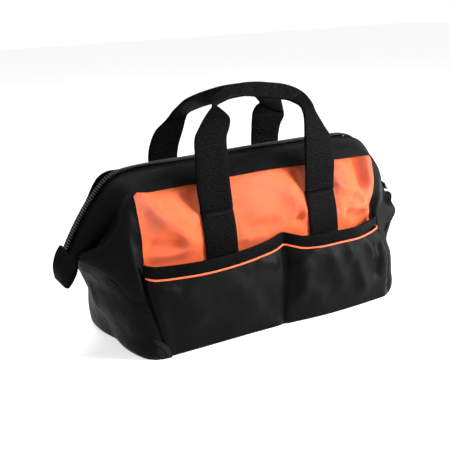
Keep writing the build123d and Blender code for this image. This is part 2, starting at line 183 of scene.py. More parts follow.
def sheet_mesh(name, grid, thickness=CLOTH):
    """A cloth of the given thickness with its outer side on the grid."""
    rows, columns = len(grid), len(grid[0])
    points = [p for row in grid for p in row]
    us = [lengths_from(row, columns // 2) for row in grid]
    vs = [lengths_from([row[i] for row in grid], rows // 2) for i in range(columns)]
    uvs = [(us[j][i], vs[i][j]) for j in range(rows) for i in range(columns)]
    faces = []
    for j in range(rows - 1):
        for i in range(columns - 1):
            k = j * columns + i
            faces.append((k, k + 1, k + columns + 1, k + columns))
    piece = make_mesh(name, points, faces, uvs)
    for edge in piece.data.edges:
        (j, i), (m, n) = (divmod(k, columns) for k in edge.vertices)
        edge.use_edge_sharp = (j == m and j in (0, rows - 1)) or (i == n and i in (0, columns - 1))
    solid = piece.modifiers.new("thickness", "SOLIDIFY")
    solid.thickness = thickness * MM
    solid.offset = -1.0
    return piece


def loop_mesh(name, loops):
    """A closed solid through a row of closed loops, with a cap on each end."""
    count = len(loops[0])
    points = [p for loop in loops for p in loop]
    around = lengths_from(loops[0])
    along = lengths_from([sum(loop, Vector()) / count for loop in loops])
    uvs = [(around[i], along[j]) for j in range(len(loops)) for i in range(count)]
    faces = []
    for j in range(len(loops) - 1):
        for i in range(count):
            a, b = j * count + i, j * count + (i + 1) % count
            faces.append((a, b, b + count, a + count))
    faces.append(tuple(reversed(range(count))))
    last = (len(loops) - 1) * count
    faces.append(tuple(range(last, last + count)))
    return make_mesh(name, points, faces, uvs)


def round_section(centre, across, out, width, height, corner=None, steps=4):
    """Closed loop of a rounded rectangle around centre, width along across and height along out."""
    corner = min(width, height) / 2 * 0.98 if corner is None else corner
    loop = []
    for quarter, (sx, sy) in enumerate(((1, 1), (-1, 1), (-1, -1), (1, -1))):
        middle = centre + across * sx * (width / 2 - corner) + out * sy * (height / 2 - corner)
        for step in range(steps + 1):
            angle = math.radians(90 * (quarter + step / steps))
            loop.append(middle + across * math.cos(angle) * corner + out * math.sin(angle) * corner)
    return loop


def tangents(path):
    """Unit tangent at each point of a path."""
    last = len(path) - 1
    return [(path[min(i + 1, last)] - path[max(i - 1, 0)]).normalized() for i in range(last + 1)]


def finish_piece(piece, material, body=None, replaces=()):
    piece.data.materials.clear()
    piece.data.materials.append(material)
    if body:
        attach(piece, body)
    if replaces:
        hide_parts(*replaces)
    return piece


# ---- materials


class Nodes:
    """Short way to build the nodes of one material."""

    def __init__(self, name):
        self.material = bpy.data.materials.new(name)
        self.material.use_nodes = True
        self.tree = self.material.node_tree
        self.shader = self.tree.nodes["Principled BSDF"]

    def add(self, kind, **settings):
        node = self.tree.nodes.new(kind)
        for key, value in settings.items():
            setattr(node, key, value)
        return node

    def give(self, socket, value):
        """Links value to the input when it is a node's output, or else sets the input to it."""
        if isinstance(value, bpy.types.NodeSocket):
            self.tree.links.new(value, socket)
        else:
            socket.default_value = value

    def shade(self, name, value):
        """Gives the shader's input of this name a value or a node's output."""
        self.give(self.shader.inputs[name], value)

    def maths(self, operation, *values):
        node = self.add("ShaderNodeMath", operation=operation)
        for socket, value in zip(node.inputs, values):
            self.give(socket, value)
        return node.outputs[0]

    def cloth_lengths(self):
        """The piece's own lengths, across it and along it, in metres."""
        uv = self.add("ShaderNodeSeparateXYZ")
        self.give(uv.inputs[0], self.add("ShaderNodeUVMap", uv_map="cloth").outputs[0])
        return uv.outputs[0], uv.outputs[1]

    def noise(self, scale, detail, coordinates=None):
        node = self.add("ShaderNodeTexNoise")
        self.give(node.inputs["Scale"], scale)
        self.give(node.inputs["Detail"], detail)
        if coordinates is None:
            coordinates = self.add("ShaderNodeTexCoord").outputs["Object"]
        self.give(node.inputs["Vector"], coordinates)
        return node.outputs["Fac"]

    def ramp(self, value, stops):
        node = self.add("ShaderNodeValToRGB")
        elements = node.color_ramp.elements
        while len(elements) < len(stops):
            elements.new(0.5)
        for element, (place, colour) in zip(elements, stops):
            element.position = place
            element.color = (*colour, 1)
        self.give(node.inputs[0], value)
        return node.outputs[0]

    def bump(self, height, distance, normal=None):
        node = self.add("ShaderNodeBump")
        self.give(node.inputs["Distance"], distance)
        self.give(node.inputs["Strength"], 1.0)
        self.give(node.inputs["Height"], height)
        if normal is not None:
            self.give(node.inputs["Normal"], normal)
        return node.outputs["Normal"]


# how finely each look's unevenness repeats, per metre
SLUBS, CLOTH_CLOUD, WRINKLES = 900.0, 28.0, 38.0
FUZZ, WEBBING_CLOUD = 420.0, 40.0
GRAIN = 200.0


def wave(nodes, value, pitch):
    """Sine of period pitch, from 0 to 1."""
    turned = nodes.maths("MULTIPLY", value, 2 * math.pi / pitch)
    return nodes.maths("MULTIPLY_ADD", nodes.maths("SINE", turned), 0.5, 0.5)


def woven(name, dark, light, pitch, twill=False, roughness=0.85, sheen=0.0, depth=0.00012, specular=0.35,
          crumple=0.0):
    """Woven cloth: thread pattern along the piece's own lengths, slubs and an uneven tone."""
    nodes = Nodes(name)
    u, v = nodes.cloth_lengths()
    if twill:
        threads = wave(nodes, nodes.maths("ADD", u, v), pitch)
        cross = wave(nodes, nodes.maths("SUBTRACT", u, v), pitch * 0.5)
    else:
        threads = wave(nodes, u, pitch)
        cross = wave(nodes, v, pitch)
    knots = nodes.maths("MULTIPLY", nodes.maths("MULTIPLY", threads, cross), 0.4)
    weave = nodes.maths("MULTIPLY_ADD", nodes.maths("ADD", threads, cross), 0.3, knots)
    slubs = nodes.noise(SLUBS, 2.0)
    cloud = nodes.noise(CLOTH_CLOUD, 4.0)
    tone = nodes.maths("MULTIPLY_ADD", slubs, 0.35, nodes.maths("MULTIPLY", cloud, 0.4))
    tone = nodes.maths("MULTIPLY_ADD", weave, 0.35, tone)
    nodes.shade("Base Color", nodes.ramp(tone, [(0.2, dark), (0.85, light)]))
    height = nodes.maths("MULTIPLY_ADD", slubs, 0.5, weave)
    wrinkles = nodes.bump(nodes.noise(WRINKLES, 2.5), crumple) if crumple else None
    nodes.shade("Normal", nodes.bump(height, depth, normal=wrinkles))
    nodes.shade("Roughness", roughness)
    nodes.shade("Specular IOR Level", specular)
    nodes.shade("Sheen Weight", sheen)
    nodes.shade("Sheen Roughness", 0.45)
    return nodes.material


WEBBING_ROUGHNESS, WEBBING_SPECULAR = 0.55, 0.02
DASH_WIDTH = 0.0040


def webbing_material(name, dark, light, pitch=0.0022, depth=0.0005):
    """Ribbed webbing: ribs across it, broken into short dashes of about DASH_WIDTH."""
    nodes = Nodes(name)
    u, v = nodes.cloth_lengths()
    ribs = wave(nodes, v, pitch)
    stretched = nodes.add("ShaderNodeCombineXYZ")
    nodes.give(stretched.inputs[0], nodes.maths("MULTIPLY", u, 1 / DASH_WIDTH))
    nodes.give(stretched.inputs[1], nodes.maths("MULTIPLY", v, 1.3 / pitch))
    dashes = nodes.noise(1.0, 1.0, stretched.outputs[0])
    fuzz = nodes.noise(FUZZ, 2.0)
    cloud = nodes.noise(WEBBING_CLOUD, 3.0)
    weave = nodes.maths("MULTIPLY_ADD", ribs, 0.35, dashes)
    tone = nodes.maths("MULTIPLY_ADD", fuzz, 0.5, nodes.maths("MULTIPLY_ADD", cloud, 0.3, weave))
    tone = nodes.maths("MULTIPLY", tone, 0.6)
    nodes.shade("Base Color", nodes.ramp(tone, [(0.56, dark), (0.86, light)]))
    height = nodes.maths("MULTIPLY_ADD", fuzz, 0.4, weave)
    nodes.shade("Normal", nodes.bump(height, depth))
    nodes.shade("Roughness", WEBBING_ROUGHNESS)
    nodes.shade("Specular IOR Level", WEBBING_SPECULAR)
    return nodes.material


def plain_material(name, dark, light, roughness, metallic=0.0, specular=0.5):
    """Moulded or metal surface with a fine grain and slight wear in its tone."""
    nodes = Nodes(name)
    tone = nodes.noise(GRAIN, 4.0)
    nodes.shade("Base Color", nodes.ramp(tone, [(0.3, dark), (0.7, light)]))
    nodes.shade("Normal", nodes.bump(nodes.noise(GRAIN * 6, 2.0), 0.05 * MM))
    rough = nodes.maths("MULTIPLY_ADD", nodes.noise(GRAIN * 0.5, 2.0), 0.2, roughness - 0.1)
    nodes.shade("Roughness", rough)
    nodes.shade("Metallic", metallic)
    nodes.shade("Specular IOR Level", specular)
    return nodes.material


def grey(level):
    """Neutral colour of the given linear level."""
    return (level, level, level)


ORANGE = woven(
    "orange_cloth", (0.85, 0.056, 0.003), (1.00, 0.188, 0.018), 2.0 * MM,
    twill=True, roughness=0.44, specular=0.80, depth=0.00080, crumple=0.0030,
)
BLACK = woven(
    "black_cloth", grey(0.0006), (0.0026, 0.0025, 0.0024), 1.6 * MM,
    roughness=0.50, specular=0.050, crumple=0.0020,
)
TAPE = woven("zip_tape", grey(0.0006), grey(0.002), 0.8 * MM, specular=0.02)
THREAD = woven("black_thread", grey(0.001), grey(0.006), 0.5 * MM, specular=0.06)
PIPING = woven("piping_cloth", (0.95, 0.10, 0.030), (1.0, 0.18, 0.060), 0.8 * MM, sheen=0.2)
BINDING = webbing_material("binding_tape", grey(0.0004), grey(0.0060), 1.6 * MM, 0.00025)
WEB = webbing_material("black_webbing", grey(0.0002), (0.0046, 0.0046, 0.0045))
GRIP = webbing_material("handle_webbing", grey(0.0002), (0.0110, 0.0109, 0.0107))
# The coil's grey is its dark nylon lifted lighter as a painted highlight on the teeth.
COIL = plain_material("nylon_coil", (0.020, 0.020, 0.021), (0.055, 0.055, 0.056), 0.38, specular=0.35)
RUBBER = plain_material("foot_rubber", (0.0020, 0.0021, 0.0022), (0.0050, 0.0052, 0.0054), 0.5, specular=0.12)
STEEL = plain_material("coated_steel", (0.02, 0.02, 0.021), (0.05, 0.05, 0.052), 0.4, metallic=0.8)
NICKEL = plain_material("nickel", (0.55, 0.55, 0.56), (0.75, 0.75, 0.76), 0.22, metallic=1.0)
BOARD = plain_material("board", grey(0.02), grey(0.04), 0.6)

# ---- walls


def wall_y(z):
    """Outer face of the front wall at height z."""
    if z > PANEL_TOP_Z:
        return PANEL_TOP_Y + TOP_SLOPE * (z - PANEL_TOP_Z)
    if z <= KNEE_Z:
        return WALL_FOOT_Y + (KNEE_Y - WALL_FOOT_Y) * (z - WALL_FOOT_Z) / (KNEE_Z - WALL_FOOT_Z)
    rise = PANEL_TOP_Z - KNEE_Z
    t = (z - KNEE_Z) / rise
    low_slope = (KNEE_Y - WALL_FOOT_Y) / (KNEE_Z - WALL_FOOT_Z) * rise
    top_slope = TOP_SLOPE * rise
    h00, h10 = 2 * t ** 3 - 3 * t ** 2 + 1, t ** 3 - 2 * t ** 2 + t
    h01, h11 = -2 * t ** 3 + 3 * t ** 2, t ** 3 - t ** 2
    return h00 * KNEE_Y + h10 * low_slope + h01 * PANEL_TOP_Y + h11 * top_slope


FRONT_FOLDS = [
    # soft folds of the front panel: x and z of both ends, width, and height before FOLD_SCALE
    (-150, 166, -120, 127, 8, 2.8), (-128, 138, -89, 99, 8.5, 2.8), (-152, 110, -103, 107, 5.5, -2),
    (-146, 99, -98, 101, 5.5, 1.8), (-92, 160, -84, 132, 10, -1.8), (-85, 105, -79, 93, 5, -1.8),
    (-36, 142, -34, 112, 9, -1.6), (-38, 107, 10, 111, 6, -2.2), (-42, 97, -8, 102, 6, 1.6),
    (-6, 166, 30, 130, 9.5, 2.2), (20, 142, 55, 99, 8, 3), (27, 113, 48, 100, 5.5, -2.6),
    (42, 163, 50, 136, 7, -2.6), (97, 164, 104, 140, 8, 1.8), (86, 141, 136, 112, 7, 2.9),
    (129, 166, 131, 116, 7, -4), (147, 166, 139, 110, 6, 2.6), (104, 123, 128, 114, 4.5, -2.2),
    (100, 112, 138, 104, 4.5, 2), (94, 106, 126, 91, 5, -2.6), (126, 106, 146, 90, 5, 2.4),
]

EDGE_LINE = [
    # side edge of the wall, from the base up to the band: x, z
    (142, 2.7), (143, 20), (146, 40), (150.5, 60), (153, 80), (151.6, 97), (150.6, 120), (150.4, 140),
    (150.2, 162),
]
DRAWN_LINE = [
    # how far the slack end of the wall is drawn in and back at each height: in, back, z
    (-3, 0, 2.7), (-3, 0, 25), (-1, 1, 45), (3, 6, 62), (7, 13, 80), (6.5, 13.5, 97), (4.8, 9.5, 113),
    (4.2, 5.2, 134), (3, 3, 150), (2, 1.5, 170),
]
EDGE_FINE = curve_through([(x, 0, z) for x, z in EDGE_LINE], 81)
DRAWN_FINE = curve_through(DRAWN_LINE, 91)


def at_height(line, z):
    """Point of a rising curve at height z, or its nearer end."""
    for a, b in zip(line, line[1:]):
        if a.z <= z <= b.z:
            return a.lerp(b, (z - a.z) / max(b.z - a.z, 1e-6))
    return line[0] if z < line[0].z else line[-1]


def edge_x(z):
    """Half width of the wall at height z."""
    return at_height(EDGE_FINE, z).x


# The slack end is drawn in from SLACK_FROM_X to the end of the zip. Three places on it, in X and Z, stand out
# from that: a nose of cloth below the crease, a flat ear above it, and a dip where the end of the zip shows.
SLACK_FROM_X, ZIP_END_X = 92, 205
NOSE_X, NOSE_Z, NOSE_OUT, NOSE_FORWARD = 184, 80, 13.0, 6.0
FLAT_X, FLAT_Z, FLAT_BACK = 184, 116, 8.0
DIP_X, DIP_Z, DIP_DOWN = 186, 112, 12.0


def drawn(p):
    """Where a point of the right front quarter goes on the slack end of the bag."""
    near = smooth((p.x - SLACK_FROM_X) / 60) * smooth((ZIP_END_X - p.x) / 42)
    pull = at_height(DRAWN_FINE, p.z)
    nose_reach = 34 if p.z < NOSE_Z else 24
    nose = bump_at(p.x, NOSE_X, 20) * bump_at(p.z, NOSE_Z, nose_reach) * smooth((-22 - p.y) / 12)
    flat = bump_at(p.x, FLAT_X, 22) * bump_at(p.z, FLAT_Z, 20)
    dip = bump_at(p.x, DIP_X, 22) * bump_at(p.z, DIP_Z, 20) * smooth((-17 - p.y) / 12)
    depth = min(1.0, abs(p.y) / 50)
    inward, back = pull.x * near * depth, pull.y * near * depth
    x = p.x - inward + NOSE_OUT * nose
    y = p.y + back - NOSE_FORWARD * nose + FLAT_BACK * flat
    return Vector((x, y, p.z - DIP_DOWN * dip))


def wall_point(x, z, off=0.0):
    """Point on the soft outer face of the front wall, off millimetres in front. The right end is slack."""
    ends = smooth((abs(x) - 95) / 55)
    hollow = bump_at(z, 96, 44) * (2.0 + 3.0 * ends)
    p = Vector((x, wall_y(z) + hollow - off, z))
    return drawn(p) if x > 0 else p


def strap_mask(x):
    """0 under a strap and 1 away from it, so that folds stay off the straps."""
    return smooth((abs(abs(x) - HANDLE_X) - WEBBING / 2) / 7)


CLOTH_TOP_Z = 167.0
PANEL_ROWS, HALF_COLUMNS = 61, 70
SEEN_FROM_Z = 88
SWELL = 3.0
FOLD_SCALE = 2.1


def panel_half(z):
    """Half width of the panel's cloth at height z. It is cut back where other pieces cover its edge."""
    behind_pocket = 1.6 * smooth((SEEN_FROM_Z - z) / 6)
    under_band = 9.0 * smooth((z - 160) / 3)
    at_feet = 12.0 * smooth((30 - z) / 5)
    return edge_x(z) - 0.6 - behind_pocket - under_band - at_feet


def panel_grid(seed):
    """Outer face of the front panel, up to its edge under the band."""
    rows = []
    for j in range(PANEL_ROWS):
        z = WALL_FOOT_Z + (CLOTH_TOP_Z - WALL_FOOT_Z) * j / (PANEL_ROWS - 1)
        half = panel_half(z)
        rows.append([wall_point(half * (i / HALF_COLUMNS - 1), z) for i in range(2 * HALF_COLUMNS + 1)])

    def amount(p):
        flat = Vector((p.x, 0, p.z))
        seen = smooth((p.z - SEEN_FROM_Z) / 14) * smooth((166 - p.z) / 9)
        rise = math.sin(math.pi * max(0.0, min(1.0, (p.z - SEEN_FROM_Z) / 74)))
        swell = SWELL * rise * smooth((149 - abs(p.x)) / 22)
        folds = FOLD_SCALE * sum(fold(flat, *f) for f in FRONT_FOLDS) + 1.2 * mottle(flat, 17, seed)
        under_band = 1.6 * smooth((p.z - 161.5) / 3)
        return (swell + folds) * strap_mask(p.x) * seen - 0.6 - under_band

    return pushed(rows, amount)


PIPING_LINE = [
    # height of the piping along the pocket: z, x
    (84, -156), (82, -150.5), (80.4, -142), (79.4, -121), (78.9, -90), (80, -53), (82, -20), (83, -4),
    (85.6, 8), (83.8, 16), (80.2, 29), (78.4, 50), (78.5, 76), (77.8, 107), (77.4, 130), (78.2, 144),
    (80, 156),
]
PIPING_FINE = curve_through([(0, z, x) for z, x in PIPING_LINE], 161)
POCKET_TOP_Z = 83.0
POCKET_BOTTOM_Z = 1.2
POCKET_LOW, POCKET_HIGH = 1.2, 13.0
POCKET_ROWS, POCKET_COLUMNS = 41, 141
POCKET_FOLD_SCALE = 0.9
SEAM_X = 9.0
SEAM_LEFT, SEAM_RIGHT = 17, 8
END_TURN = 7.0


def pocket_half(v):
    """Half width of the pocket, v of the way up."""
    return edge_x(POCKET_BOTTOM_Z + (POCKET_TOP_Z - POCKET_BOTTOM_Z) * v) + 0.9 * smooth(v * 3)


def seam_x(v):
    """Where the seam between the two pockets runs, v of the way up. It leans with the slack cloth."""
    return SEAM_X * smooth(v * 1.2)


def pocket_out(x, v, half):
    """How far the pocket stands off the wall at x, v of the way up."""
    reach = x - seam_x(v)
    width = SEAM_LEFT if reach < 0 else SEAM_RIGHT
    middle = 1 - math.exp(-((abs(reach) / width) ** 1.2)) * smooth(v * 5 + 0.25)
    end = math.sqrt(max(0.0, 1 - (1 - min(1.0, (half - abs(x)) / END_TURN)) ** 2))
    belly = 0.55 + 0.45 * math.sin(math.pi * min(1.0, abs(x) / half))
    low = POCKET_LOW + 6.5 * smooth((x + 50) / 110)
    full = low + (POCKET_HIGH - low) * math.sin(math.pi / 2 * v) ** 1.1
    gape = 3.0 * v * v * smooth((x - 100) / 40)
    return (full * middle * belly + gape) * end


def piping_z(x):
    """Height of the piping at x."""
    return at_height(PIPING_FINE, x).y


def pocket_point(x, v, off=0.0, height=0.0):
    """Point on the pocket's outer face, v of the way from its bottom to the piping."""
    half = pocket_half(v)
    z = POCKET_BOTTOM_Z + (piping_z(x) - POCKET_BOTTOM_Z) * v + height
    return wall_point(x, z, 0.3 + CLOTH + pocket_out(x, v, half) + off)


def pocket_stations(count):
    """Shares from -1 to 1 across the pocket, closer together at its ends and in its middle."""
    made = []
    for i in range(count):
        t = 2 * i / (count - 1) - 1
        made.append(t - 0.13 * math.sin(2 * math.pi * t))
    return made


POCKET_FOLDS = [
    # the same for the soft folds of the pocket, before POCKET_FOLD_SCALE
    (0, 68, -34, 80, 6, 3), (14, 60, 48, 80, 7, 3.6), (18, 20, 34, 72, 9, 3.4), (20, 44, 52, 20, 9, 2.8),
    (84, 80, 112, 12, 8, 5), (60, 76, 78, 24, 9, 3.4), (96, 78, 92, 40, 6, -3), (112, 78, 130, 46, 6, 3.4),
    (136, 74, 124, 22, 8, -5), (-150, 74, -122, 66, 4, 1.8), (-122, 70, -96, 26, 13, 2.2),
    (-60, 62, -26, 18, 13, 2.2), (-30, 50, -8, 14, 7, -1.6),
]


def pocket_grid(seed):
    """Outer face of the front pocket, with the seam in its middle and both ends turned in to the wall."""
    rows = []
    for j in range(POCKET_ROWS):
        v = j / (POCKET_ROWS - 1)
        half = pocket_half(v)
        row = [pocket_point(half * share, v) for share in pocket_stations(POCKET_COLUMNS)]
        z = row[0].z
        first, last = wall_point(-half - 0.5, z, -2.0), wall_point(half + 0.5, z, -2.0)
        rows.append([first, *row, last])
    rows.insert(0, [Vector((p.x, max(p.y, WALL_FOOT_Y + 0.5), p.z)) for p in rows[0]])

    def amount(p):
        flat = Vector((p.x, 0, p.z))
        seam = -1.5 * math.exp(-((p.x - seam_x(p.z / POCKET_TOP_Z)) / 3) ** 2)
        edge = smooth((edge_x(p.z) - 2 - abs(p.x)) / 12) * smooth((p.z - 2) / 12)
        folds = POCKET_FOLD_SCALE * sum(fold(flat, *f) for f in POCKET_FOLDS)
        return seam + edge * (folds + 1.0 * mottle(flat, 30, seed))

    return pushed(rows, amount)


def top_edge(height, off):
    """Line along the pocket's top, height above the piping line and off from the pocket's face."""
    half = pocket_half(1) - 0.4
    return [pocket_point(half * share, 1, off, height) for share in pocket_stations(POCKET_COLUMNS)]


def swept_bar(name, path, width, height, corner=None):
    """A rounded bar along a path: width sideways and height upwards."""
    loops = []
    for p, t in zip(path, tangents(path)):
        side = t.cross(Vector((0, 0, 1))).normalized()
        loops.append(round_section(p, side, side.cross(t).normalized(), width, height, corner))
    return loop_mesh(name, loops)


BINDING_HEIGHT, BINDING_THICK, BINDING_CORNER = 12.5, 2.6, 1.2
BINDING_GAP = 1.2
PIPING_SIZE = 1.9


def wall(side, y):
    """Panel, pocket, piping and binding of one wall. The rear wall is the front one turned half round."""
    body = side + "_wall"
    seed = 3.0 if side == "front" else 8.0
    panel = sheet_mesh(side + "_panel_cloth", mirrored(panel_grid(seed), y, y))
    finish_piece(panel, ORANGE, body, [side + "_panel"])
    pocket = sheet_mesh(side + "_pocket_cloth", mirrored(pocket_grid(seed), y, y))
    finish_piece(pocket, BLACK, body, [side + "_pocket"])
    piping = swept_bar(side + "_piping", flipped(top_edge(0.4, 0.3), y, y), PIPING_SIZE, PIPING_SIZE)
    finish_piece(piping, PIPING, body, [side + "_pocket_piping"])
    line = flipped(top_edge(BINDING_GAP + BINDING_HEIGHT / 2, -0.5), y, y)
    binding = swept_bar(side + "_binding", line, BINDING_THICK, BINDING_HEIGHT, BINDING_CORNER)
    finish_piece(binding, BINDING, body, [side + "_pocket_binding"])


wall("front", 1)
wall("rear", -1)

# ---- mouth: bands, coils

RIDGE_RIGHT = [
    # the ridge line under the coil, from the middle of the bag past the right pivot: x, z
    (0, 180.8), (55, 181), (100, 181.1), (128, 180.6), (142, 178.9), (153, 175.4), (161.2, 169.8),
    (167.8, 162.6), (173.8, 154), (179.6, 144.3), (185, 134.6), (189.4, 125.6), (193, 116.6),
    (197, 108.2), (201.5, 100.2), (206, 92.6),
]
RIDGE_LEFT = [
    # the same towards the left pivot, with x counted to the left
    (0, 180.8), (55, 179.8), (100, 179.2), (128, 178.5), (143, 176.8), (153, 174), (161, 169.3),
    (168.5, 162.3), (176, 154), (183, 145.4), (189.5, 136.4), (195.5, 127.4), (201, 118.4), (205.6, 110),
    (208.6, 101.5), (210.6, 93),
]
COIL_RIGHT = RIDGE_RIGHT[:4] + [
    # the coil leaves the ridge line on the right. Its slope is straight, and the slider runs along it.
    (142, 178.7), (152, 174.2), (160, 166.4), (167, 157.2), (174, 147.3), (181, 137.1), (188, 126.9),
    (195, 116.6), (200.5, 108.6), (205, 102), (209.5, 95.4),
]


def ridge_path(line, drop=0.0, low_z=PIVOT_Z, count=91):
    """Half of the ridge, from the middle of the top to one end, at a drop below the ridge line.
    Each item is a point in the XZ plane, and the direction outwards from the bag."""
    fine = curve_through([(x, 0, z) for x, z in line], count)
    items = []
    for p, t in zip(fine, tangents(fine)):
        out = Vector((-t.z, 0, t.x))
        if (p - out * drop).z >= low_z:
            items.append((p - out * drop, out))
    return items


BAND_LOW = [
    # lower edge of the band, from the middle of the bag to the end of its right leg
    (0, -37.6, 163.6), (40, -37.8, 163), (90, -38.3, 162), (132, -38.6, 161.2), (149.5, -38.4, 160),
    (156.5, -31.5, 155.5), (163, -24, 143), (173, -18.5, 124), (189, -14, 98.5),
]


SLEEVE_STEPS, DROP_STEPS = 6, 16


def band_grid(line, proud):
    """Half of the band: over the tube and down to its lower edge. Columns run along the ridge line.
    Its corner stands proud by the given amount."""
    stations = ridge_path(line, TUBE_DROP, PIVOT_Z - TUBE_DROP)
    lows = curve_through(BAND_LOW, 8 * len(stations))
    lengths = lengths_from([centre for centre, _ in stations])
    columns = []
    for k, (centre, out) in enumerate(stations):
        middle = Vector((centre.x, TUBE_Y, centre.z)) + out * proud * bump_at(centre.x, 157, 20)
        share = lengths[k] / lengths[-1] * (len(lows) - 1)
        i = min(int(share), len(lows) - 2)
        low = lows[i].lerp(lows[i + 1], share - i)
        arc = []
        for step in range(SLEEVE_STEPS):
            angle = math.radians(120 + 15 * step / (SLEEVE_STEPS - 1))
            arc.append(middle + (Vector((0, 1, 0)) * math.cos(angle) + out * math.sin(angle)) * SLEEVE_RADIUS)
        last = arc[-1]
        line = low - last
        puff = (out * 0.55 + Vector((0, -0.8, 0))).normalized() * line.length * 0.07
        for step in range(1, DROP_STEPS + 1):
            t = step / DROP_STEPS
            arc.append(last + line * t + puff * math.sin(math.pi * t ** 0.8))
        columns.append(arc)
    return [list(row) for row in zip(*columns)][::-1]


COIL_LOW_Z = 107.0


def ridge_bar(name, y, rise, reach, width, height, corner):
    """A bar along the whole ridge and both slopes, reach from their middle and rise over the ridge line."""
    right = ridge_path(COIL_RIGHT, -rise, COIL_LOW_Z)
    left = ridge_path(RIDGE_LEFT, -rise, COIL_LOW_Z)
    left = [(Vector((-p.x, p.y, p.z)), Vector((-n.x, n.y, n.z))) for p, n in reversed(left[1:])]
    loops = []
    for p, out in left + right:
        centre = Vector((p.x, -reach * y, p.z))
        loops.append(round_section(centre, Vector((0, -1, 0)), out, width, height, corner))
    return loop_mesh(name, loops)


TOOTH_PITCH = 2.7
# sections of one turn of the coil: place across the zip, half width, and rise over the ridge line
TOOTH_ROWS = ((0.2, 0.45, 1.0), (0.9, 0.65, 2.5), (2.9, 0.65, 2.4), (3.9, 0.45, 1.0))
TOOTH_SIDES = 6
TOOTH_HALF_HEIGHT = 0.6
COIL_STATIONS = 181


def coil_teeth(name, y):
    """The rounded turns of one half of the coil, side by side along the whole chain."""
    points, faces, uvs = [], [], []
    for line, sign in ((COIL_RIGHT, 1), (RIDGE_LEFT, -1)):
        path = ridge_path(line, 0.0, COIL_LOW_Z, COIL_STATIONS)
        lengths = lengths_from([p for p, _ in path])
        k = 0
        for number in range(int(lengths[-1] / TOOTH_PITCH)):
            place = (number + (0.5 if y > 0 else 0.25)) * TOOTH_PITCH
            while k < len(path) - 2 and lengths[k + 1] < place:
                k += 1
            (a, na), (b, nb) = path[k], path[k + 1]
            t = min(1.0, (place - lengths[k]) / (lengths[k + 1] - lengths[k]))
            centre, out = a.lerp(b, t), na.lerp(nb, t).normalized()
            centre = Vector((centre.x * sign, 0, centre.z))
            out = Vector((out.x * sign, 0, out.z))
            along = Vector((0, 1, 0)).cross(out)
            base = len(points)
            for row, (reach, half, rise) in enumerate(TOOTH_ROWS):
                for corner in range(TOOTH_SIDES):
                    angle = math.radians(360 / TOOTH_SIDES * corner)
                    spot = centre + Vector((0, -y * reach, 0)) + along * math.cos(angle) * half
                    points.append(spot + out * (rise + math.sin(angle) * TOOTH_HALF_HEIGHT))
                    uvs.append((row, corner))
            for row in range(len(TOOTH_ROWS) - 1):
                start = base + row * TOOTH_SIDES
                for corner in range(TOOTH_SIDES):
                    p, q = start + corner, start + (corner + 1) % TOOTH_SIDES
                    face = (p, q, q + TOOTH_SIDES, p + TOOTH_SIDES)
                    faces.append(face if y < 0 else face[::-1])
            first = tuple(range(base, base + TOOTH_SIDES))
            last = tuple(range(len(points) - TOOTH_SIDES, len(points)))
            faces.append(first[::-1] if y < 0 else first)
            faces.append(last if y < 0 else last[::-1])
    return make_mesh(name, points, faces, uvs)


BAND_CLOTH = 1.3
REAR_CORNER_PROUD = 4.5
# bars along the zip: rise over the ridge line, reach from its middle, width, height and corner radius
CORE_BAR = (1.0, 2.05, 3.6, 1.7, 0.6)
TAPE_BAR = (-0.6, 7.4, 7.4, 0.8, 0.3)


def mouth(side, y):
    """Band, coil and tape of one side of the mouth. y is 1 for the front and -1 for the rear."""
    for half, x, line in (("right", 1, RIDGE_RIGHT), ("left", -1, RIDGE_LEFT)):
        proud = REAR_CORNER_PROUD if (half, side) == ("left", "rear") else 0.0
        band = sheet_mesh(f"{side}_band_{half}", mirrored(band_grid(line, proud), x, y), BAND_CLOTH)
        finish_piece(band, BLACK, None)
        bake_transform(band)
        if half == "right":
            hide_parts(side + "_top_band", side + "_right_leg_sleeve", side + "_left_leg_sleeve")
    core = ridge_bar(side + "_coil_core", y, *CORE_BAR)
    finish_piece(core, TAPE, side + "_frame")
    teeth = coil_teeth(side + "_coil_teeth", y)
    finish_piece(teeth, COIL, side + "_frame", [side + "_zip_coil"])
    tape = ridge_bar(side + "_tape", y, *TAPE_BAR)
    finish_piece(tape, TAPE, side + "_frame", [side + "_zip_tape"])


mouth("front", 1)
mouth("rear", -1)

# ---- gussets and ears

